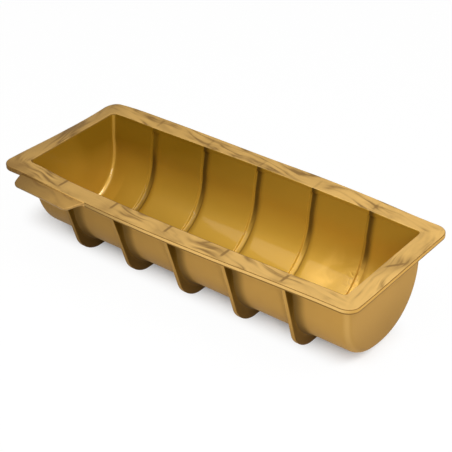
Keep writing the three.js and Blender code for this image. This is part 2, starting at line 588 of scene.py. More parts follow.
# %% [markdown]
# ## The rim
#
# The rim is a flat band round the mouth. A block with bevelled upright corners gives its outside,
# and a second block is cut out of it for the mouth. It is a little thicker than the CAD's, as the
# real lip is. Its edges get a small round, but not the lower inner one, which lies on the trough's
# wall. Last, bisect cuts it into short strips, so that the lattice has points to move, and one
# level cut parts the lip from the shaded line below it.

# %% Cut the mouth out of a rounded block
RIM_CORNER = 8 * MM
MOUTH_CORNER = 2.6 * MM
RIM_EXTRA = 1 * MM
CORNER_STEPS = 10
UPRIGHT_SHARE = 0.9
rim_bottom = RIM_UNDERSIDE - RIM_EXTRA


def add_block(name, low, high):
    centre = [(a + b) / 2 for a, b in zip(low, high)]
    size = [b - a for a, b in zip(low, high)]
    bpy.ops.mesh.primitive_cube_add(size=1, location=centre, scale=size)
    return new_piece(name)


def upright(edge):
    rise = abs(edge.verts[0].co.z - edge.verts[1].co.z)
    return rise > UPRIGHT_SHARE * edge.calc_length()


def rounded_block(name, half_length, half_width, low, high, corner):
    block = add_block(name, (-half_length, -half_width, low), (half_length, half_width, high))
    open_edit(block)
    pick(block, "EDGE", lambda edge, at: upright(edge))
    bpy.ops.mesh.bevel(offset=corner, affect="EDGES", segments=CORNER_STEPS)
    close_edit()
    return block


rim = rounded_block("rim_skin", rim_high.x, RIM_HALF_WIDTH, rim_bottom, RIM_TOP, RIM_CORNER)
mouth = rounded_block(
    "mouth_cutter", MOUTH_HALF_LENGTH, MOUTH_HALF_WIDTH, 0, 2 * RIM_TOP, MOUTH_CORNER
)
apply_modifier(rim, "BOOLEAN", object=mouth, operation="DIFFERENCE", solver="EXACT")
bpy.data.objects.remove(mouth)
print("rim block of", len(rim.data.polygons), "faces")

# %% Round the rim's edges
RIM_EDGE = 0.6 * MM
SHARP = math.radians(60)


def on_mouth(at):
    return abs(at.x) < MOUTH_HALF_LENGTH + HAIR and abs(at.y) < MOUTH_HALF_WIDTH + HAIR


def rim_corner_edge(edge, at):
    if len(edge.link_faces) < 2 or edge.calc_face_angle() < SHARP:
        return False
    return at.z > rim_bottom + HAIR or not on_mouth(at)


open_edit(rim)
select_all()
bpy.ops.mesh.remove_doubles(threshold=HAIR)
print("rim edges rounded:", pick(rim, "EDGE", rim_corner_edge))
bpy.ops.mesh.bevel(offset=RIM_EDGE, affect="EDGES", segments=EDGE_STEPS)

# %% Cut the rim into strips, and its lip in two
STRIP = 8 * MM
LIP_SHADOW = 0.5 * MM
lip_split = rim_bottom + RIM_EDGE + LIP_SHADOW


def cut_rows(axis, places):
    normal = [float(axis == name) for name in "xyz"]
    for place in places:
        select_all()
        bpy.ops.mesh.bisect(plane_co=[place * part for part in normal], plane_no=normal)


for axis, half in (("x", rim_high.x), ("y", RIM_HALF_WIDTH)):
    count = int(half / STRIP)
    cut_rows(axis, [STRIP * number for number in range(-count, count + 1)])
cut_rows("z", [lip_split])
print("rim faces:", len(bmesh.from_edit_mesh(rim.data).faces))

# %% [markdown]
# ## The rim's finishes
#
# The rim's top is streaked, but its edges carry painted light and shade. Its outer edge is a thin
# dark line of painted shade with a painted highlight on the lip below it and a line of painted
# shade under that, and the left corner is painted dark all over as shade. The side of the mouth
# belongs to the glossy inside; the mouth's left edge gets the painted highlight, its front edge
# the dark line. Above the tab the edge is a step whose painted shadow fades from dark to light. A
# face can only have one material, so these faces are picked by their place and normal and get
# slots of their own.

# %% Where a face of the rim lies
tab_low, tab_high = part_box("pull_tab")
tab_x = (tab_low.x + tab_high.x) / 2


def past_middle(at):
    past_end = abs(at.x) - MOUTH_HALF_LENGTH > RIM_WIDTH / 2
    return past_end or abs(at.y) - MOUTH_HALF_WIDTH > RIM_WIDTH / 2


def beside_tab(at):
    return at.y < 0 and tab_low.x < at.x < tab_high.x


def on_left_corner(at):
    return at.x < -MOUTH_HALF_LENGTH and at.y < -MOUTH_HALF_WIDTH


print("tab from", round(tab_low.x / MM, 1), "to", round(tab_high.x / MM, 1), "mm")

# %% Faces of the outer edge, by the rise of their normal
UPPER_ROUND = (0.2, 0.97)
WHOLE_EDGE = (-0.5, 0.97)
SIDE_AND_UNDER = (-0.9, 0.2)


def rises(face, limits):
    return limits[0] < face.normal.z < limits[1]


# Painted shade: the dark line on the upper round of the outer edge, and the whole edge at the left
# corner.
def dark_line(face, at):
    limits = WHOLE_EDGE if on_left_corner(at) else UPPER_ROUND
    return rises(face, limits) and past_middle(at) and not beside_tab(at)


def lip(face, at):
    side_face = rises(face, SIDE_AND_UNDER) and past_middle(at)
    return side_face and not beside_tab(at) and not on_left_corner(at)


# Painted highlight on the lip.
def bright_lip(face, at):
    return lip(face, at) and at.z > lip_split


# Painted shade on the line under the lip.
def shaded_lip(face, at):
    return lip(face, at) and at.z < lip_split


# Painted shadow on the step above the tab.
def tab_step(face, at):
    return rises(face, WHOLE_EDGE) and past_middle(at) and beside_tab(at)


print("outer edge told apart at", round(lip_split / MM, 1), "mm")

# %% Faces round the mouth
FRONT_ROUND, FRONT_TURN = (0.1, 0.99), 0.1
LEFT_ROUND, LEFT_TURN = (0.1, 0.97), 0.2
SIDE_OF_MOUTH = (-0.75, 0.75)


def mouth_side(face, at):
    return rises(face, SIDE_OF_MOUTH) and not past_middle(at)


# The front mouth edge gets the dark line of painted shade.
def front_mouth_edge(face, at):
    turned = face.normal.y > FRONT_TURN and rises(face, FRONT_ROUND)
    return turned and at.y < 0 and not past_middle(at)


# The left mouth edge gets the lip's painted highlight.
def left_mouth_edge(face, at):
    turned = face.normal.x > LEFT_TURN and rises(face, LEFT_ROUND)
    return turned and at.x < 0 and not past_middle(at)


print("mouth edge: front from", FRONT_TURN, "on, left from", LEFT_TURN, "on")

# %% Give the rim's faces their slots
TOP, LINE, LIP, INSIDE, STEP, SHADE = range(6)
slot_tests = (
    (LINE, dark_line),
    (LIP, bright_lip),
    (SHADE, shaded_lip),
    (INSIDE, mouth_side),
    (LIP, left_mouth_edge),
    (LINE, front_mouth_edge),
    (STEP, tab_step),
)


def give_slot(piece, slot, test):
    count = pick(piece, "FACE", test)
    piece.active_material_index = slot
    bpy.ops.object.material_slot_assign()
    return count


for _ in range(TOP, SHADE + 1):
    rim.data.materials.append(blank)
for slot, test in slot_tests:
    print("rim slot", slot, "gets", give_slot(rim, slot, test), "faces")
close_edit()

# %% [markdown]
# ## The pull tab
#
# The tab is a thin plate that grows out of the front edge of the rim. Its root is sunk into the
# rim and spreads to the right, its tip is narrower with round corners and shorter at the left, and
# it hangs a little. The bend is made as by hand: bisect cuts rows across it, and from each row
# outwards the rest is turned by a small angle. At the end the whole tab is tilted by one degree.

# %% Outline of the tab
TAB_THICKNESS = 1.7 * MM
TAB_ROOT_WIDTH = 52 * MM
TAB_TIP_WIDTH = 43 * MM
TAB_ROOT_SUNK = 3 * MM
TAB_REACH = 10.4 * MM
TAB_FLARE = 3.5 * MM
TAB_SHORT_LEFT = 1.4 * MM

tab_z = RIM_UNDERSIDE + TAB_THICKNESS / 2
tab_root = -RIM_HALF_WIDTH + TAB_ROOT_SUNK
tab_tip = -RIM_HALF_WIDTH - TAB_REACH
tab = add_block(
    "tab_skin",
    (tab_x - TAB_ROOT_WIDTH / 2, tab_tip, tab_z - TAB_THICKNESS / 2),
    (tab_x + TAB_ROOT_WIDTH / 2, tab_root, tab_z + TAB_THICKNESS / 2),
)
open_edit(tab)
pick(tab, "VERT", lambda vertex, at: at.y < tab_tip + HAIR)
scale_about((TAB_TIP_WIDTH / TAB_ROOT_WIDTH, 1, 1), (tab_x, 0, 0))
pick(tab, "VERT", lambda vertex, at: at.y < tab_tip + HAIR and at.x < tab_x)
bpy.ops.transform.translate(value=(0, TAB_SHORT_LEFT, 0))
pick(tab, "VERT", lambda vertex, at: at.y > tab_root - HAIR and at.x > tab_x)
bpy.ops.transform.translate(value=(TAB_FLARE, 0, 0))
print("tab reaches", round(TAB_REACH / MM, 1), "mm beyond the rim")

# %% Round the tab and cut it into rows and columns
TAB_CORNER = 3 * MM
TAB_CORNER_STEPS = 8
TAB_EDGE = 0.45 * MM
TAB_EDGE_STEPS = 3
TAB_ROW = 0.8 * MM
TAB_COLUMN = 2 * TAB_ROW

pick(tab, "EDGE", lambda edge, at: upright(edge) and at.y < tab_tip + TAB_SHORT_LEFT + HAIR)
bpy.ops.mesh.bevel(offset=TAB_CORNER, affect="EDGES", segments=TAB_CORNER_STEPS)
pick(tab, "EDGE", lambda edge, at: not upright(edge) and at.y < tab_root - HAIR)
bpy.ops.mesh.bevel(offset=TAB_EDGE, affect="EDGES", segments=TAB_EDGE_STEPS)
row_count = int(TAB_REACH / TAB_ROW)
tab_rows = [-RIM_HALF_WIDTH - TAB_ROW * number for number in range(row_count)]
cut_rows("y", tab_rows)
columns = int(TAB_ROOT_WIDTH / TAB_COLUMN / 2)
cut_rows("x", [tab_x + TAB_COLUMN * number for number in range(-columns, columns + 1)])
print("tab faces:", len(bmesh.from_edit_mesh(tab.data).faces))

# %% Let the tab hang
TAB_DROOP = math.radians(14)
TAB_DROOP_ROWS = 6
TAB_TILT = math.radians(1)

for row in tab_rows[1 : TAB_DROOP_ROWS + 1]:
    pick(tab, "VERT", lambda vertex, at: at.y < row - HAIR)
    bpy.ops.transform.rotate(
        value=-TAB_DROOP / TAB_DROOP_ROWS,
        orient_axis="X",
        center_override=(tab_x, row, tab_z),
    )
select_all()
bpy.ops.transform.rotate(
    value=TAB_TILT,
    orient_axis="Y",
    center_override=(tab_x + TAB_ROOT_WIDTH / 2, tab_root, tab_z),
)
close_edit()
tip_z = min(vertex.co.z for vertex in tab.data.vertices)
print("tab tip at", round(tip_z / MM, 2), "mm, CAD", round(tab_low.z / MM, 2), "mm")

# %% [markdown]
# ## The soft bow
#
# A silicone mould never stands quite straight. Its long sides belly out, the rim's outer edge
# lifts in one place and hangs in another, and the corners are pulled a little. A lattice is the
# right tool for that: one cage round the whole mould moves every piece alike, so nothing comes
# apart. Its columns and rows lie on the ends and sides of the mouth. Only the upper layer moves,
# so the feet stay flat.

# %% Make the cage
COLUMNS, ROWS, LAYERS = 9, 5, 2
COLUMNS_TO_END = 3
column_step = MOUTH_HALF_LENGTH / COLUMNS_TO_END
row_step = MOUTH_HALF_WIDTH

bpy.ops.object.add(type="LATTICE", location=(0, 0, RIM_TOP / 2))
cage = bpy.context.object
cage.name = "soft_bow"
cage.scale = (column_step * (COLUMNS - 1), row_step * (ROWS - 1), RIM_TOP)
cage.data.points_u, cage.data.points_v, cage.data.points_w = COLUMNS, ROWS, LAYERS
cage.data.interpolation_type_u = "KEY_CATMULL_ROM"
cage.data.interpolation_type_v = "KEY_CATMULL_ROM"
cage.data.interpolation_type_w = "KEY_LINEAR"
print("cage of", len(cage.data.points), "points")

# %% Move the cage's points, in millimetres
FRONT_EDGE, FRONT_SIDE, _, BACK_SIDE, BACK_EDGE = range(ROWS)
FRONT_BOW = (0, 0, 2.7, 3.3, 3.3, 2.5, 1.3, 0, 0)
BACK_BOW = (0, 0, 0.9, 1.8, 2.5, 2.2, 1.4, 0, 0)
FRONT_EDGE_LIFT = (0, 0.5, 1, -1.7, -1.7, -0.3, 1.9, 1.6, 0)
BACK_EDGE_LIFT = (0, 2.1, 3.8, 2, 0, 2.5, 2, 0.3, 1)
LEFT_EDGE_LIFT = (0, 0, -6, -7, 0)
LEFT_CORNER_MOVE = (-3, -2, -1.5)
RIGHT_CORNER_MOVE = (1, 0, 1)


def nudge(column, row, move):
    """Move one point of the cage's upper layer."""
    index = column + COLUMNS * (row + ROWS * (LAYERS - 1))
    point = cage.data.points[index]
    point.co_deform += Vector([part * MM / side for part, side in zip(move, cage.scale)])


for column in range(COLUMNS):
    nudge(column, FRONT_EDGE, (0, -FRONT_BOW[column], FRONT_EDGE_LIFT[column]))
    nudge(column, FRONT_SIDE, (0, -FRONT_BOW[column], 0))
    nudge(column, BACK_SIDE, (0, BACK_BOW[column], 0))
    nudge(column, BACK_EDGE, (0, BACK_BOW[column], BACK_EDGE_LIFT[column]))
for row, lift in enumerate(LEFT_EDGE_LIFT):
    nudge(0, row, (0, 0, lift))
for column, row in ((0, FRONT_EDGE), (1, FRONT_EDGE), (0, FRONT_SIDE)):
    nudge(column, row, LEFT_CORNER_MOVE)
for row in (BACK_SIDE, BACK_EDGE):
    nudge(COLUMNS - 1, row, RIGHT_CORNER_MOVE)
print("long sides bow by", max(FRONT_BOW), "and", max(BACK_BOW), "mm")

# %% Bend all pieces with it
SMOOTH_ANGLE = math.radians(40)

pieces = list(skins.values()) + ribs + [rim, tab]
for piece in pieces:
    apply_modifier(piece, "LATTICE", object=cage)
    bpy.ops.object.shade_smooth_by_angle(angle=SMOOTH_ANGLE)
bpy.data.objects.remove(cage)
print("bent", len(pieces), "pieces")

# %% [markdown]
# ## Shader maths in Python
#
# Node trees are easier to read as sums. `Wire` holds one output socket, and arithmetic on it adds
# Math nodes. Every other node comes from `add`, which sets the node up, then plugs its inputs.

# %% A small class for node sockets


class Wire:
    """One output of a node. Sums on it add Math nodes to the same tree."""

    def __init__(self, tree, socket=None):
        self.tree = tree
        self.socket = socket

    def add(self, kind, settings, inputs, output=0):
        node = self.tree.nodes.new(kind)
        for name, value in settings.items():
            setattr(node, name, value)
        for name, value in inputs.items():
            if isinstance(value, Wire):
                self.tree.links.new(value.socket, node.inputs[name])
            else:
                node.inputs[name].default_value = value
        return Wire(self.tree, node.outputs[output] if node.outputs else None)

    def math(self, operation, first, second=0.0):
        return self.add("ShaderNodeMath", {"operation": operation}, {0: first, 1: second})

    def __add__(self, other):
        return self.math("ADD", self, other)

    def __radd__(self, other):
        return self.math("ADD", other, self)

    def __sub__(self, other):
        return self.math("SUBTRACT", self, other)

    def __rsub__(self, other):
        return self.math("SUBTRACT", other, self)

    def __mul__(self, other):
        return self.math("MULTIPLY", self, other)

    def __rmul__(self, other):
        return self.math("MULTIPLY", other, self)

    def __abs__(self):
        return self.math("ABSOLUTE", self)


print("Wire ready")

# %% [markdown]
# ## The gold silicone
#
# Pearl pigment gives the silicone a soft shine, and its smooth side adds a faint gloss. A
# Principled shader does both: a little Metallic for the pearl, a medium Roughness, and a thin
# Coat where the silicone is glossy. The helpers that all finishes share come first. `fade` is
# the one used most: it turns a place into a soft mask, and `fade_mm` takes millimetres.

# %% Start and finish a material
COAT_ROUGHNESS = 0.07


def new_material(name):
    material = bpy.data.materials.new(name)
    material.use_nodes = True
    material.node_tree.nodes.clear()
    return material, Wire(material.node_tree)


def finish_material(colour, normal, roughness, metallic, gloss, coat):
    shader = colour.add(
        "ShaderNodeBsdfPrincipled",
        {},
        {
            "Base Color": colour,
            "Metallic": metallic,
            "Roughness": roughness,
            "Normal": normal,
            "Specular IOR Level": gloss,
            "Coat Weight": coat,
            "Coat Roughness": COAT_ROUGHNESS,
        },
    )
    shader.add("ShaderNodeOutputMaterial", {}, {"Surface": shader})


print("material helpers ready")

# %% Mix, noise and bump


def mix_colour(share, first, second):
    return share.add("ShaderNodeMix", {"data_type": "RGBA"}, {0: share, 6: first, 7: second}, 2)


def noise(vector, scale, detail=2.0, distortion=0.0):
    return vector.add(
        "ShaderNodeTexNoise",
        {},
        {"Vector": vector, "Scale": scale, "Detail": detail, "Distortion": distortion},
    )


def bump(height, depth):
    return height.add("ShaderNodeBump", {}, {"Strength": 1.0, "Distance": depth, "Height": height})


print("pattern helpers ready")

# %% Masks from a place


def fade(value, start, end):
    """0 at the start, 1 at the end, soft between them."""
    return value.add(
        "ShaderNodeMapRange",
        {"interpolation_type": "SMOOTHSTEP"},
        {"Value": value, "From Min": start, "From Max": end},
    )


def fade_mm(value, start, end):
    return fade(value, start * MM, end * MM)


def object_place(wire):
    place = wire.add("ShaderNodeTexCoord", {}, {}, "Object")
    return place, [wire.add("ShaderNodeSeparateXYZ", {}, {0: place}, axis) for axis in "XYZ"]


def sideways_lean(wire):
    """How far the surface faces along the mould: 1 to the right, -1 to the left."""
    facing = wire.add("ShaderNodeTexCoord", {}, {}, "Normal")
    return wire.add("ShaderNodeSeparateXYZ", {}, {0: facing}, "X")


def from_rib(x):
    """Distance from the nearest rib, positive to its right."""
    spacing = RIB_PLACES[1] - RIB_PLACES[0]
    start = RIB_PLACES[0] - spacing / 2
    return x.math("FLOORED_MODULO", x - start, spacing) - spacing / 2


print("mask helpers ready")

# %% [markdown]
# ## The inside
#
# The inside is the smooth side of the silicone. Its colour carries painted shade: a light gold at
# the right turns dark at the left, towards the rim and low in the middle bays. An image could hold
# that, but masks made from the place of each point work at any size. A dark line of painted shade
# follows each groove, painted highlights shine at the left corner, the low right end, the fifth
# groove's foot and low in each groove, and a crinkle in the bump breaks up the light at the fifth
# groove's foot.

# %% Inside: masks for places
inside_gold, wire = new_material("inside_gold")
place, (x, y, z) = object_place(wire)
lean = sideways_lean(wire)
beside = from_rib(x)
cloud = noise(place, scale=22.0, detail=3.0, distortion=0.5)
between_ends = fade_mm(abs(x), 100, 98)
higher = fade_mm(z, 10, 32)
near_back = fade_mm(y, -34, -12)
fifth_foot = fade_mm(abs(x - 82 * MM), 14, 4) * fade_mm(z, 28, 13)
fifth_foot = fifth_foot * near_back
print("nodes so far:", len(wire.tree.nodes))

# %% Inside: painted shade at the left end
LEFT_WALL_RELIEF = 0.5
CORNER_DUSK = 0.45

# Painted shade: darker towards the left end, a little less on the left wall, more at its upper
# back corner. left_corner marks the round that gets a painted highlight further on.
at_left = fade_mm(x, -98, -104)
left_wall = fade(lean, 0.8, 0.98) * at_left
left_corner = fade(lean, 0.3, 0.55) * fade(lean, 0.92, 0.75) * at_left
corner_dusk = fade_mm(y + 10 * MM * cloud, 2, 22)
corner_dusk = corner_dusk * fade_mm(z + 12 * MM * cloud, 24, 36) * left_wall
leftward = fade_mm(x + 20 * MM * cloud, 70, -112)
leftward = leftward * (1.0 - LEFT_WALL_RELIEF * left_wall + CORNER_DUSK * corner_dusk)
print("nodes so far:", len(wire.tree.nodes))

# %% Inside: a dark line of painted shade along each groove
LINE_BELOW, LINE_ABOVE, LINE_LEFT = 0.05, 0.77, 0.45
FIRST_TOP_RELIEF = 0.55
HAIRLINE_DARK = 0.4

# Painted shade in each groove: dark from its steep left edge, fading to the right, stronger higher
# up and at the left, with a painted dark hairline lower down.
sharp = fade_mm(beside, -1.6, -0.6)
soft = fade_mm(beside, 6.5, 0.2)
groove_line = sharp * soft * soft * between_ends
first_top = fade_mm(x, -54, -66) * fade_mm(z, 32, 46)
strength = LINE_BELOW + LINE_ABOVE * higher + LINE_LEFT * leftward * (1.0 - higher)
shade = groove_line * strength * (1.0 - FIRST_TOP_RELIEF * first_top)
hairline = fade_mm(abs(beside - 1.9 * MM), 1, 0.1) * between_ends
shade = (shade + HAIRLINE_DARK * hairline * (1.0 - higher)) * (1.0 - fifth_foot)
print("nodes so far:", len(wire.tree.nodes))

# %% Inside: tone with painted shade
INSIDE_GOLD = (0.57, 0.33, 0.036, 1)
INSIDE_SHADE_GOLD = (0.29, 0.155, 0.006, 1)
DUSK_LEFT, DUSK_LEFT_ABOVE, DUSK_ABOVE, DUSK_BELOW = 0.6, 0.4, 0.35, 0.22

# Painted shade: the tone darkens towards the left, towards the rim and low in the middle bays.
upward = fade_mm(z, 26, 54)
downward = fade_mm(z, 22, 9) * fade_mm(x, 60, 20) * between_ends
dusk = leftward * (DUSK_LEFT + DUSK_LEFT_ABOVE * upward)
dusk = dusk + DUSK_ABOVE * upward + DUSK_BELOW * downward
tone = mix_colour(wire.math("MINIMUM", dusk, 1.0), INSIDE_GOLD, INSIDE_SHADE_GOLD)
print("nodes so far:", len(wire.tree.nodes))

# %% Inside: painted highlights, and the grooves' painted shade
PALE_GOLD = (0.78, 0.475, 0.09, 1)
DEEP_GOLD = (0.045, 0.021, 0.003, 1)
CORNER_SHINE, SHEEN_SHINE, FOOT_SHINE, RIDGE_SHINE = 0.5, 0.8, 0.5, 0.25
MOST_SHINE = 0.8

# Painted highlights: the left corner's round, a sheen low at the right end, the fifth groove's
# foot and a band low in each groove. Last, the grooves' painted shade goes on.
low_right = fade_mm(abs(x - 72 * MM), 30, 6) * fade_mm(z, 31, 14)
sheen_cloud = noise(place, scale=60.0, distortion=1.0)
sheen = low_right * near_back * fade(sheen_cloud, 0.25, 0.7)
ridge = fade_mm(beside, -2.4, -1.4) * fade_mm(beside, 2.4, 1)
ridge = ridge * (1.0 - higher) * (1.0 - leftward) * between_ends
bright = CORNER_SHINE * left_corner + SHEEN_SHINE * sheen
bright = bright + FOOT_SHINE * fifth_foot + RIDGE_SHINE * ridge
tone = mix_colour(wire.math("MINIMUM", bright, MOST_SHINE), tone, PALE_GOLD)
colour = mix_colour(shade, tone, DEEP_GOLD)
print("nodes so far:", len(wire.tree.nodes))

# %% Inside: crinkle and gloss
CRINKLE = 8.0

ripple = noise(place, scale=60.0)
crinkle = noise(place, scale=260.0, distortion=1.0) * fifth_foot
normal = bump(ripple + CRINKLE * crinkle, 0.1 * MM)
roughness = 0.46 + 0.06 * cloud - 0.08 * left_corner
coat = 0.3 + 0.7 * left_corner - 0.2 * left_wall
finish_material(colour, normal, roughness, metallic=0.4, gloss=0.25, coat=coat)
print("inside ready,", len(wire.tree.nodes), "nodes")

# %% [markdown]
# ## The outside and the ribs
#
# Outside, the silicone is satin: a soft surface that hardly mirrors anything. The faces of a rib
# get painted shade, darker than its narrow edge, and painted shade darkens the hollow beside each
# rib. The normal of the surface tells the faces from the edge, so one function makes all of these
# finishes and takes their shades and shares of painted light and shade as arguments.

# %% Painted shade in the hollow beside each rib
LEFT_SPREAD = 0.35


def hollow_beside_rib(x):
    """Painted shade: 1 in the corner right of a rib, reaching further at the mould's left."""
    beside = from_rib(x)
    near = beside * (1.0 - LEFT_SPREAD * fade_mm(x, 0, -60))
    right_of_rib = fade_mm(near, 10, 2) * fade_mm(abs(x), 94, 90)
    return right_of_rib * fade_mm(beside, 0, 0.5)


print("hollow mask ready")

# %% One function for the satin finishes
# Light gold for painted highlights, and brown for streaks, clouds and painted shade.
HIGHLIGHT_GOLD = (0.80, 0.50, 0.16, 1)
STREAK_AND_SHADE_BROWN = (0.20, 0.105, 0.026, 1)
CLOUD_SHARE, LOW_SHARE = 0.15, 0.4
LONG_FADE = (70, -110)


def satin_gold(
    name, base, flank, left, corner=0.0, top=0.0, line=0.0, hollow=0.0, left_fade=LONG_FADE
):
    """A base, a painted shade for faces along the mould, and shares of painted light and shade."""
    material, wire = new_material(name)
    place, (x, _, z) = object_place(wire)
    lean = sideways_lean(wire)
    # Painted shade: faces that look along the mould take the darker flank colour.
    sideways = fade(abs(lean), 0.05, 0.9)
    tone = mix_colour(sideways, base, flank)
    # Painted highlight on the round corner between a face and its flank.
    round_corner = fade(abs(lean), 0.25, 0.65) * fade(abs(lean), 0.97, 0.75)
    tone = mix_colour(round_corner * corner, tone, HIGHLIGHT_GOLD)
    # Random clouds of tone, and painted shade that darkens the wall towards the bottom.
    cloud = noise(place, scale=18.0, detail=3.0, distortion=0.6)
    low = fade_mm(z, 46, 6)
    tone = mix_colour(CLOUD_SHARE * cloud + LOW_SHARE * low, tone, STREAK_AND_SHADE_BROWN)
    # Painted shade towards the left end, under the rim on the flanks, on faces turned to the left
    # and in the hollow beside each rib.
    leftward = fade_mm(x, *left_fade) * left
    under_rim = fade_mm(z, 20, 46) * sideways * top
    left_line = fade(lean, -0.1, -0.5) * line
    dark = wire.math("MAXIMUM", under_rim, left_line)
    dark = wire.math("MAXIMUM", dark, hollow_beside_rib(x) * hollow)
    colour = mix_colour(wire.math("MAXIMUM", leftward, dark), tone, DEEP_GOLD)
    normal = bump(noise(place, scale=900.0), 0.01 * MM)
    finish_material(colour, normal, roughness=0.5, metallic=0.15, gloss=0.02, coat=0.0)
    return material


print("satin finish ready")

# %% Outside, ribs and the rim's edges
# The darker flanks of the end walls and ribs, the edge line and the line under the lip are painted
# shade; the lip's light gold is a painted highlight, darkened at the left as painted shade.
OUTSIDE_GOLD = (0.56, 0.317, 0.074, 1)
END_SHADE_GOLD = (0.48, 0.275, 0.068, 1)
RIB_SHADE_GOLD = (0.15, 0.074, 0.004, 1)
EDGE_SHADE_GOLD = (0.22, 0.116, 0.028, 1)
SHADE_GOLD = (0.26, 0.142, 0.034, 1)
LIP_FADE = (10, -70)

outside_gold = satin_gold(
    "outside_gold", OUTSIDE_GOLD, END_SHADE_GOLD, left=0.33, corner=0.35, hollow=0.75
)
rib_gold = satin_gold("rib_gold", OUTSIDE_GOLD, RIB_SHADE_GOLD, left=0.55, top=0.55, line=0.7)
shaded_edge_gold = satin_gold("shaded_edge_gold", EDGE_SHADE_GOLD, EDGE_SHADE_GOLD, left=0.2)
lit_lip_gold = satin_gold("lit_lip_gold", HIGHLIGHT_GOLD, OUTSIDE_GOLD, left=0.6, left_fade=LIP_FADE)
shade_gold = satin_gold("shade_gold", SHADE_GOLD, SHADE_GOLD, left=0.3)
print("five satin finishes ready")

# %% [markdown]
# ## The rim and the tab
#
# On the rim the pigment has flowed in streaks like the grain of wood, and it leaves a short dark
# line where two streams of silicone met beside a rib. Contour lines of a stretched noise look
# much like that grain. It runs along each side of the rim, so two of them are blended at the
# corners.

# %% Streaks of pigment
ALONG, ACROSS, SLANT = 14.0, 85.0, 10.0
WARP = 1.5
CONTOURS = 6.0


def streaks(place, along, across):
    """Contour lines of a stretched noise, like the grain of wood."""
    warp = noise(place, scale=24.0) - 0.5
    across = across * ACROSS + along * SLANT + warp * WARP
    vector = place.add("ShaderNodeCombineXYZ", {}, {0: along * ALONG, 1: across})
    grain = noise(vector, scale=1.0, detail=3.0, distortion=0.3) * CONTOURS
    return abs(grain.math("FRACT", grain) - 0.5) * 2.0


print("streaks ready")

# %% Weld lines beside the ribs and across the right end
BACK_WELD = 0.35
END_WELD_MIDDLE = 115.3 * MM
END_WELD_SLOPE = 1.24
END_SMEAR = 1.5


def welds(x, y, past_side, on_side):
    """Masks for the dark weld lines and for the smear of pigment round them."""
    beside = from_rib(x)
    reach = fade_mm(past_side, 2.4, 4) * fade_mm(past_side, 12, 9)
    front = BACK_WELD + (1 - BACK_WELD) * fade_mm(y, 10, -10)
    weld = fade_mm(abs(beside), 1.2, 0.3) * reach * on_side * front
    smear = fade_mm(abs(beside + 2 * MM), 8, 0.5) * on_side * front
    slant = abs(y + 4 * MM - END_WELD_SLOPE * (x - END_WELD_MIDDLE))
    end_reach = fade_mm(x, 115, 118) * fade_mm(x, 124, 121)
    weld = weld + fade_mm(slant, 2, 0.2) * end_reach
    end_smear = fade_mm(slant, 16, 2) * fade_mm(x, 112, 116)
    return weld, smear + END_SMEAR * end_smear


print("weld lines at", len(RIB_PLACES), "ribs and the right end")

# %% Tone of the rim and the tab, with painted light and shade
BROAD_SHARE, BROAD_RELIEF, RIGHT_LIGHT = 0.4, 0.1, 0.25
LEFT_END_DARK, FRONT_CORNER_DARK = 0.3, 0.5


def rim_tone(place, x, y, base, right_base):
    """Broad clouds, painted light growing to the right, and darker at the left end."""
    broad = noise(place, scale=30.0, detail=3.0, distortion=1.0)
    rightward = fade_mm(x, -60, 110)
    # On the tab, painted shade: its darker gold gets lighter towards its right.
    tone = mix_colour(fade(x, tab_low.x, tab_high.x), base, right_base)
    clouds = BROAD_SHARE * broad - BROAD_RELIEF * rightward
    tone = mix_colour(clouds, tone, STREAK_AND_SHADE_BROWN)
    # Painted light: lighter towards the right.
    tone = mix_colour(RIGHT_LIGHT * rightward, tone, HIGHLIGHT_GOLD)
    front_corner = fade_mm(x, -85, -118) * fade_mm(y, -36, -50)
    left_end = LEFT_END_DARK * fade_mm(x, -106, -122)
    left_end = left_end + FRONT_CORNER_DARK * front_corner
    return mix_colour(left_end, tone, STREAK_AND_SHADE_BROWN)


print("rim tone ready")

# %% The streaked finish
RIM_GOLD = (0.66, 0.4, 0.116, 1)
# Painted shade: the tab's gold is much darker than the rim's.
TAB_SHADE_GOLD = (0.235, 0.137, 0.035, 1)
GRAIN_SHARE, SMEAR_SHARE, WELD_SHARE = 0.15, 0.22, 0.7
MOST_STREAK = 0.85
PEARL_SCALE, PEARL_DEPTH = 700.0, 0.012 * MM


def streaked_gold(name, base, right_base):
    material, wire = new_material(name)
    place, (x, y, _) = object_place(wire)
    past_side = abs(y) - MOUTH_HALF_WIDTH
    past_end = abs(x) - MOUTH_HALF_LENGTH
    on_end = fade_mm(past_end - past_side, -4, 4)
    on_side = (1.0 - on_end) * fade_mm(abs(x), 100, 98)
    side_grain = streaks(place, x, y)
    grain = side_grain + on_end * (streaks(place, y, x) - side_grain)
    patches = fade(noise(place, scale=45.0), 0.35, 0.7)
    weld, smear = welds(x, y, past_side, on_side)
    dark = grain * grain * (GRAIN_SHARE + patches)
    dark = dark + SMEAR_SHARE * smear + WELD_SHARE * weld
    tone = rim_tone(place, x, y, base, right_base)
    colour = mix_colour(wire.math("MINIMUM", dark, MOST_STREAK), tone, STREAK_AND_SHADE_BROWN)
    normal = bump(noise(place, scale=PEARL_SCALE), PEARL_DEPTH)
    finish_material(colour, normal, roughness=0.5, metallic=0.25, gloss=0.3, coat=0.05)
    return material


rim_gold = streaked_gold("rim_gold", RIM_GOLD, RIM_GOLD)
tab_gold = streaked_gold("tab_gold", TAB_SHADE_GOLD, END_SHADE_GOLD)
print("streaked:", rim_gold.name, tab_gold.name)

# %% The step above the tab, with painted shadow
step_shadow_gold, wire = new_material("step_shadow_gold")
place, (x, _, _) = object_place(wire)
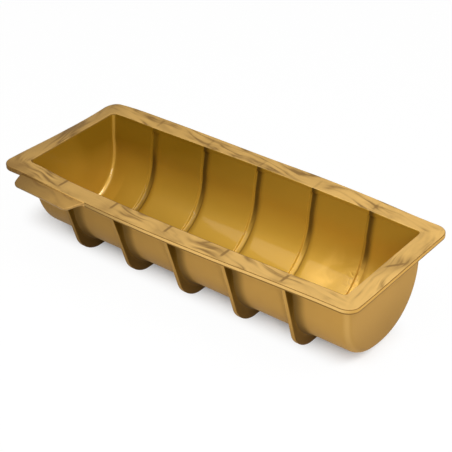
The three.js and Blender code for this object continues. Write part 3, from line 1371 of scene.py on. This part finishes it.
# Painted shadow: dark at the tab's left end, fading to the rim's gold at its right.
colour = mix_colour(fade(x, tab_low.x, tab_high.x), EDGE_SHADE_GOLD, RIM_GOLD)
normal = bump(noise(place, scale=PEARL_SCALE), PEARL_DEPTH)
finish_material(colour, normal, roughness=0.5, metallic=0.25, gloss=0.1, coat=0.0)
print("step ready,", len(wire.tree.nodes), "nodes")

# %% [markdown]
# ## Tying the skins to the CAD model
#
# Each skin takes the place of one CAD node, and all of them but the tab ride on the mould's body.
# The tab is the only piece that moves; here it rides on no body, and its transform is only baked
# into its mesh.

# %% Ride, replace and slot
rim_materials = (rim_gold, shaded_edge_gold, lit_lip_gold, inside_gold, step_shadow_gold, shade_gold)


def dress(piece, node, materials):
    while len(piece.data.materials) < len(materials):
        piece.data.materials.append(None)
    for index, material in enumerate(materials):
        piece.data.materials[index] = material
    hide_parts(node)


for zone, skin in skins.items():
    dress(skin, zone, (inside_gold, outside_gold))
    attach(skin, "mould_body")
for name, rib in zip(RIB_NAMES, ribs):
    dress(rib, name, (rib_gold,))
    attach(rib, "mould_body")
dress(rim, "rim_flange", rim_materials)
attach(rim, "mould_body")
dress(tab, "pull_tab", (tab_gold,))
print("dressed", len(pieces), "nodes")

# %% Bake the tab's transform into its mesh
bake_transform(tab)

# %% [markdown]
# ## The floor
#
# The mould stands on a plain white surface, as in a light tent, and the world is the tent. The
# floor is white by a glow that only the camera and reflections see, not by more light on the
# mould. Close to the mould that glow is weaker, so that the shadow shows there.

# %% Floor
WHITE = (1, 1, 1, 1)
MATT_WHITE = (0.9, 0.9, 0.9, 1)
FLOOR_SIZE = 6
FAR_GLOW, NEAR_GLOW = 0.97, 0.15
SHADOW_MIDDLE = -12 * MM
SHADOW_HALF_LENGTH = 112 * MM
SHADOW_HALF_WIDTH = 9 * MM
SHADOW_FADE = 25 * MM

bpy.ops.mesh.primitive_plane_add(size=FLOOR_SIZE)
ground = new_piece("floor")
floor_white, wire = new_material("floor_white")
matt = wire.add("ShaderNodeBsdfDiffuse", {}, {"Color": MATT_WHITE})
glow = wire.add("ShaderNodeEmission", {}, {"Color": WHITE, "Strength": 1.0})
camera_ray = wire.add("ShaderNodeLightPath", {}, {}, "Is Camera Ray")
glossy_ray = wire.add("ShaderNodeLightPath", {}, {}, "Is Glossy Ray")
clear_ray = wire.add("ShaderNodeLightPath", {}, {}, "Is Transmission Ray")
_, (x, y, _) = object_place(wire)
out_x = wire.math("MAXIMUM", abs(x - SHADOW_MIDDLE) - SHADOW_HALF_LENGTH, 0.0)
out_y = wire.math("MAXIMUM", abs(y) - SHADOW_HALF_WIDTH, 0.0)
away = fade(wire.math("SQRT", out_x * out_x + out_y * out_y), 0.0, SHADOW_FADE)
strength = NEAR_GLOW + (FAR_GLOW - NEAR_GLOW) * away
seen = (camera_ray + glossy_ray + clear_ray) * strength
surface = wire.add("ShaderNodeMixShader", {}, {0: seen, 1: matt, 2: glow})
wire.add("ShaderNodeOutputMaterial", {}, {"Surface": surface})
ground.data.materials.append(floor_white)
print("floor ready,", len(wire.tree.nodes), "nodes")

# %% World
WORLD_LIGHT = 0.22

world = bpy.data.worlds.new("studio")
bpy.context.scene.world = world
world.use_nodes = True
world.node_tree.nodes.clear()
wire = Wire(world.node_tree)
sky = wire.add("ShaderNodeBackground", {}, {"Color": WHITE, "Strength": WORLD_LIGHT})
wire.add("ShaderNodeOutputWorld", {}, {"Surface": sky})
print("world ready, strength", WORLD_LIGHT)

# %% [markdown]
# ## The lamps
#
# A large soft lamp above the front lights the rim, a smaller one at the right the inside, and a
# narrow one the round corners at the right. Soft boxes are area lamps: the larger they are, the
# softer is the shadow.

# %% Three soft boxes
MOUTH = Vector((0.03, 0, 0.03))


def soft_box(name, place, width, height, energy):
    bpy.ops.object.light_add(type="AREA", location=place)
    lamp = bpy.context.object
    lamp.name = name
    lamp.data.shape = "RECTANGLE"
    lamp.data.size = width
    lamp.data.size_y = height
    lamp.data.energy = energy
    lamp.rotation_euler = (MOUTH - lamp.location).to_track_quat("-Z", "Y").to_euler()
    return lamp


lamps = [
    soft_box("left_light", (-0.08, -0.3, 0.7), width=0.7, height=0.7, energy=4.4),
    soft_box("right_light", (0.5, 0.1, 0.6), width=0.35, height=0.35, energy=3.6),
    soft_box("corner_light", (0.8, -0.66, 0.55), width=0.12, height=0.4, energy=2.8),
]
bpy.context.scene.view_settings.view_transform = "Standard"
print("lamps:", [lamp.name for lamp in lamps])
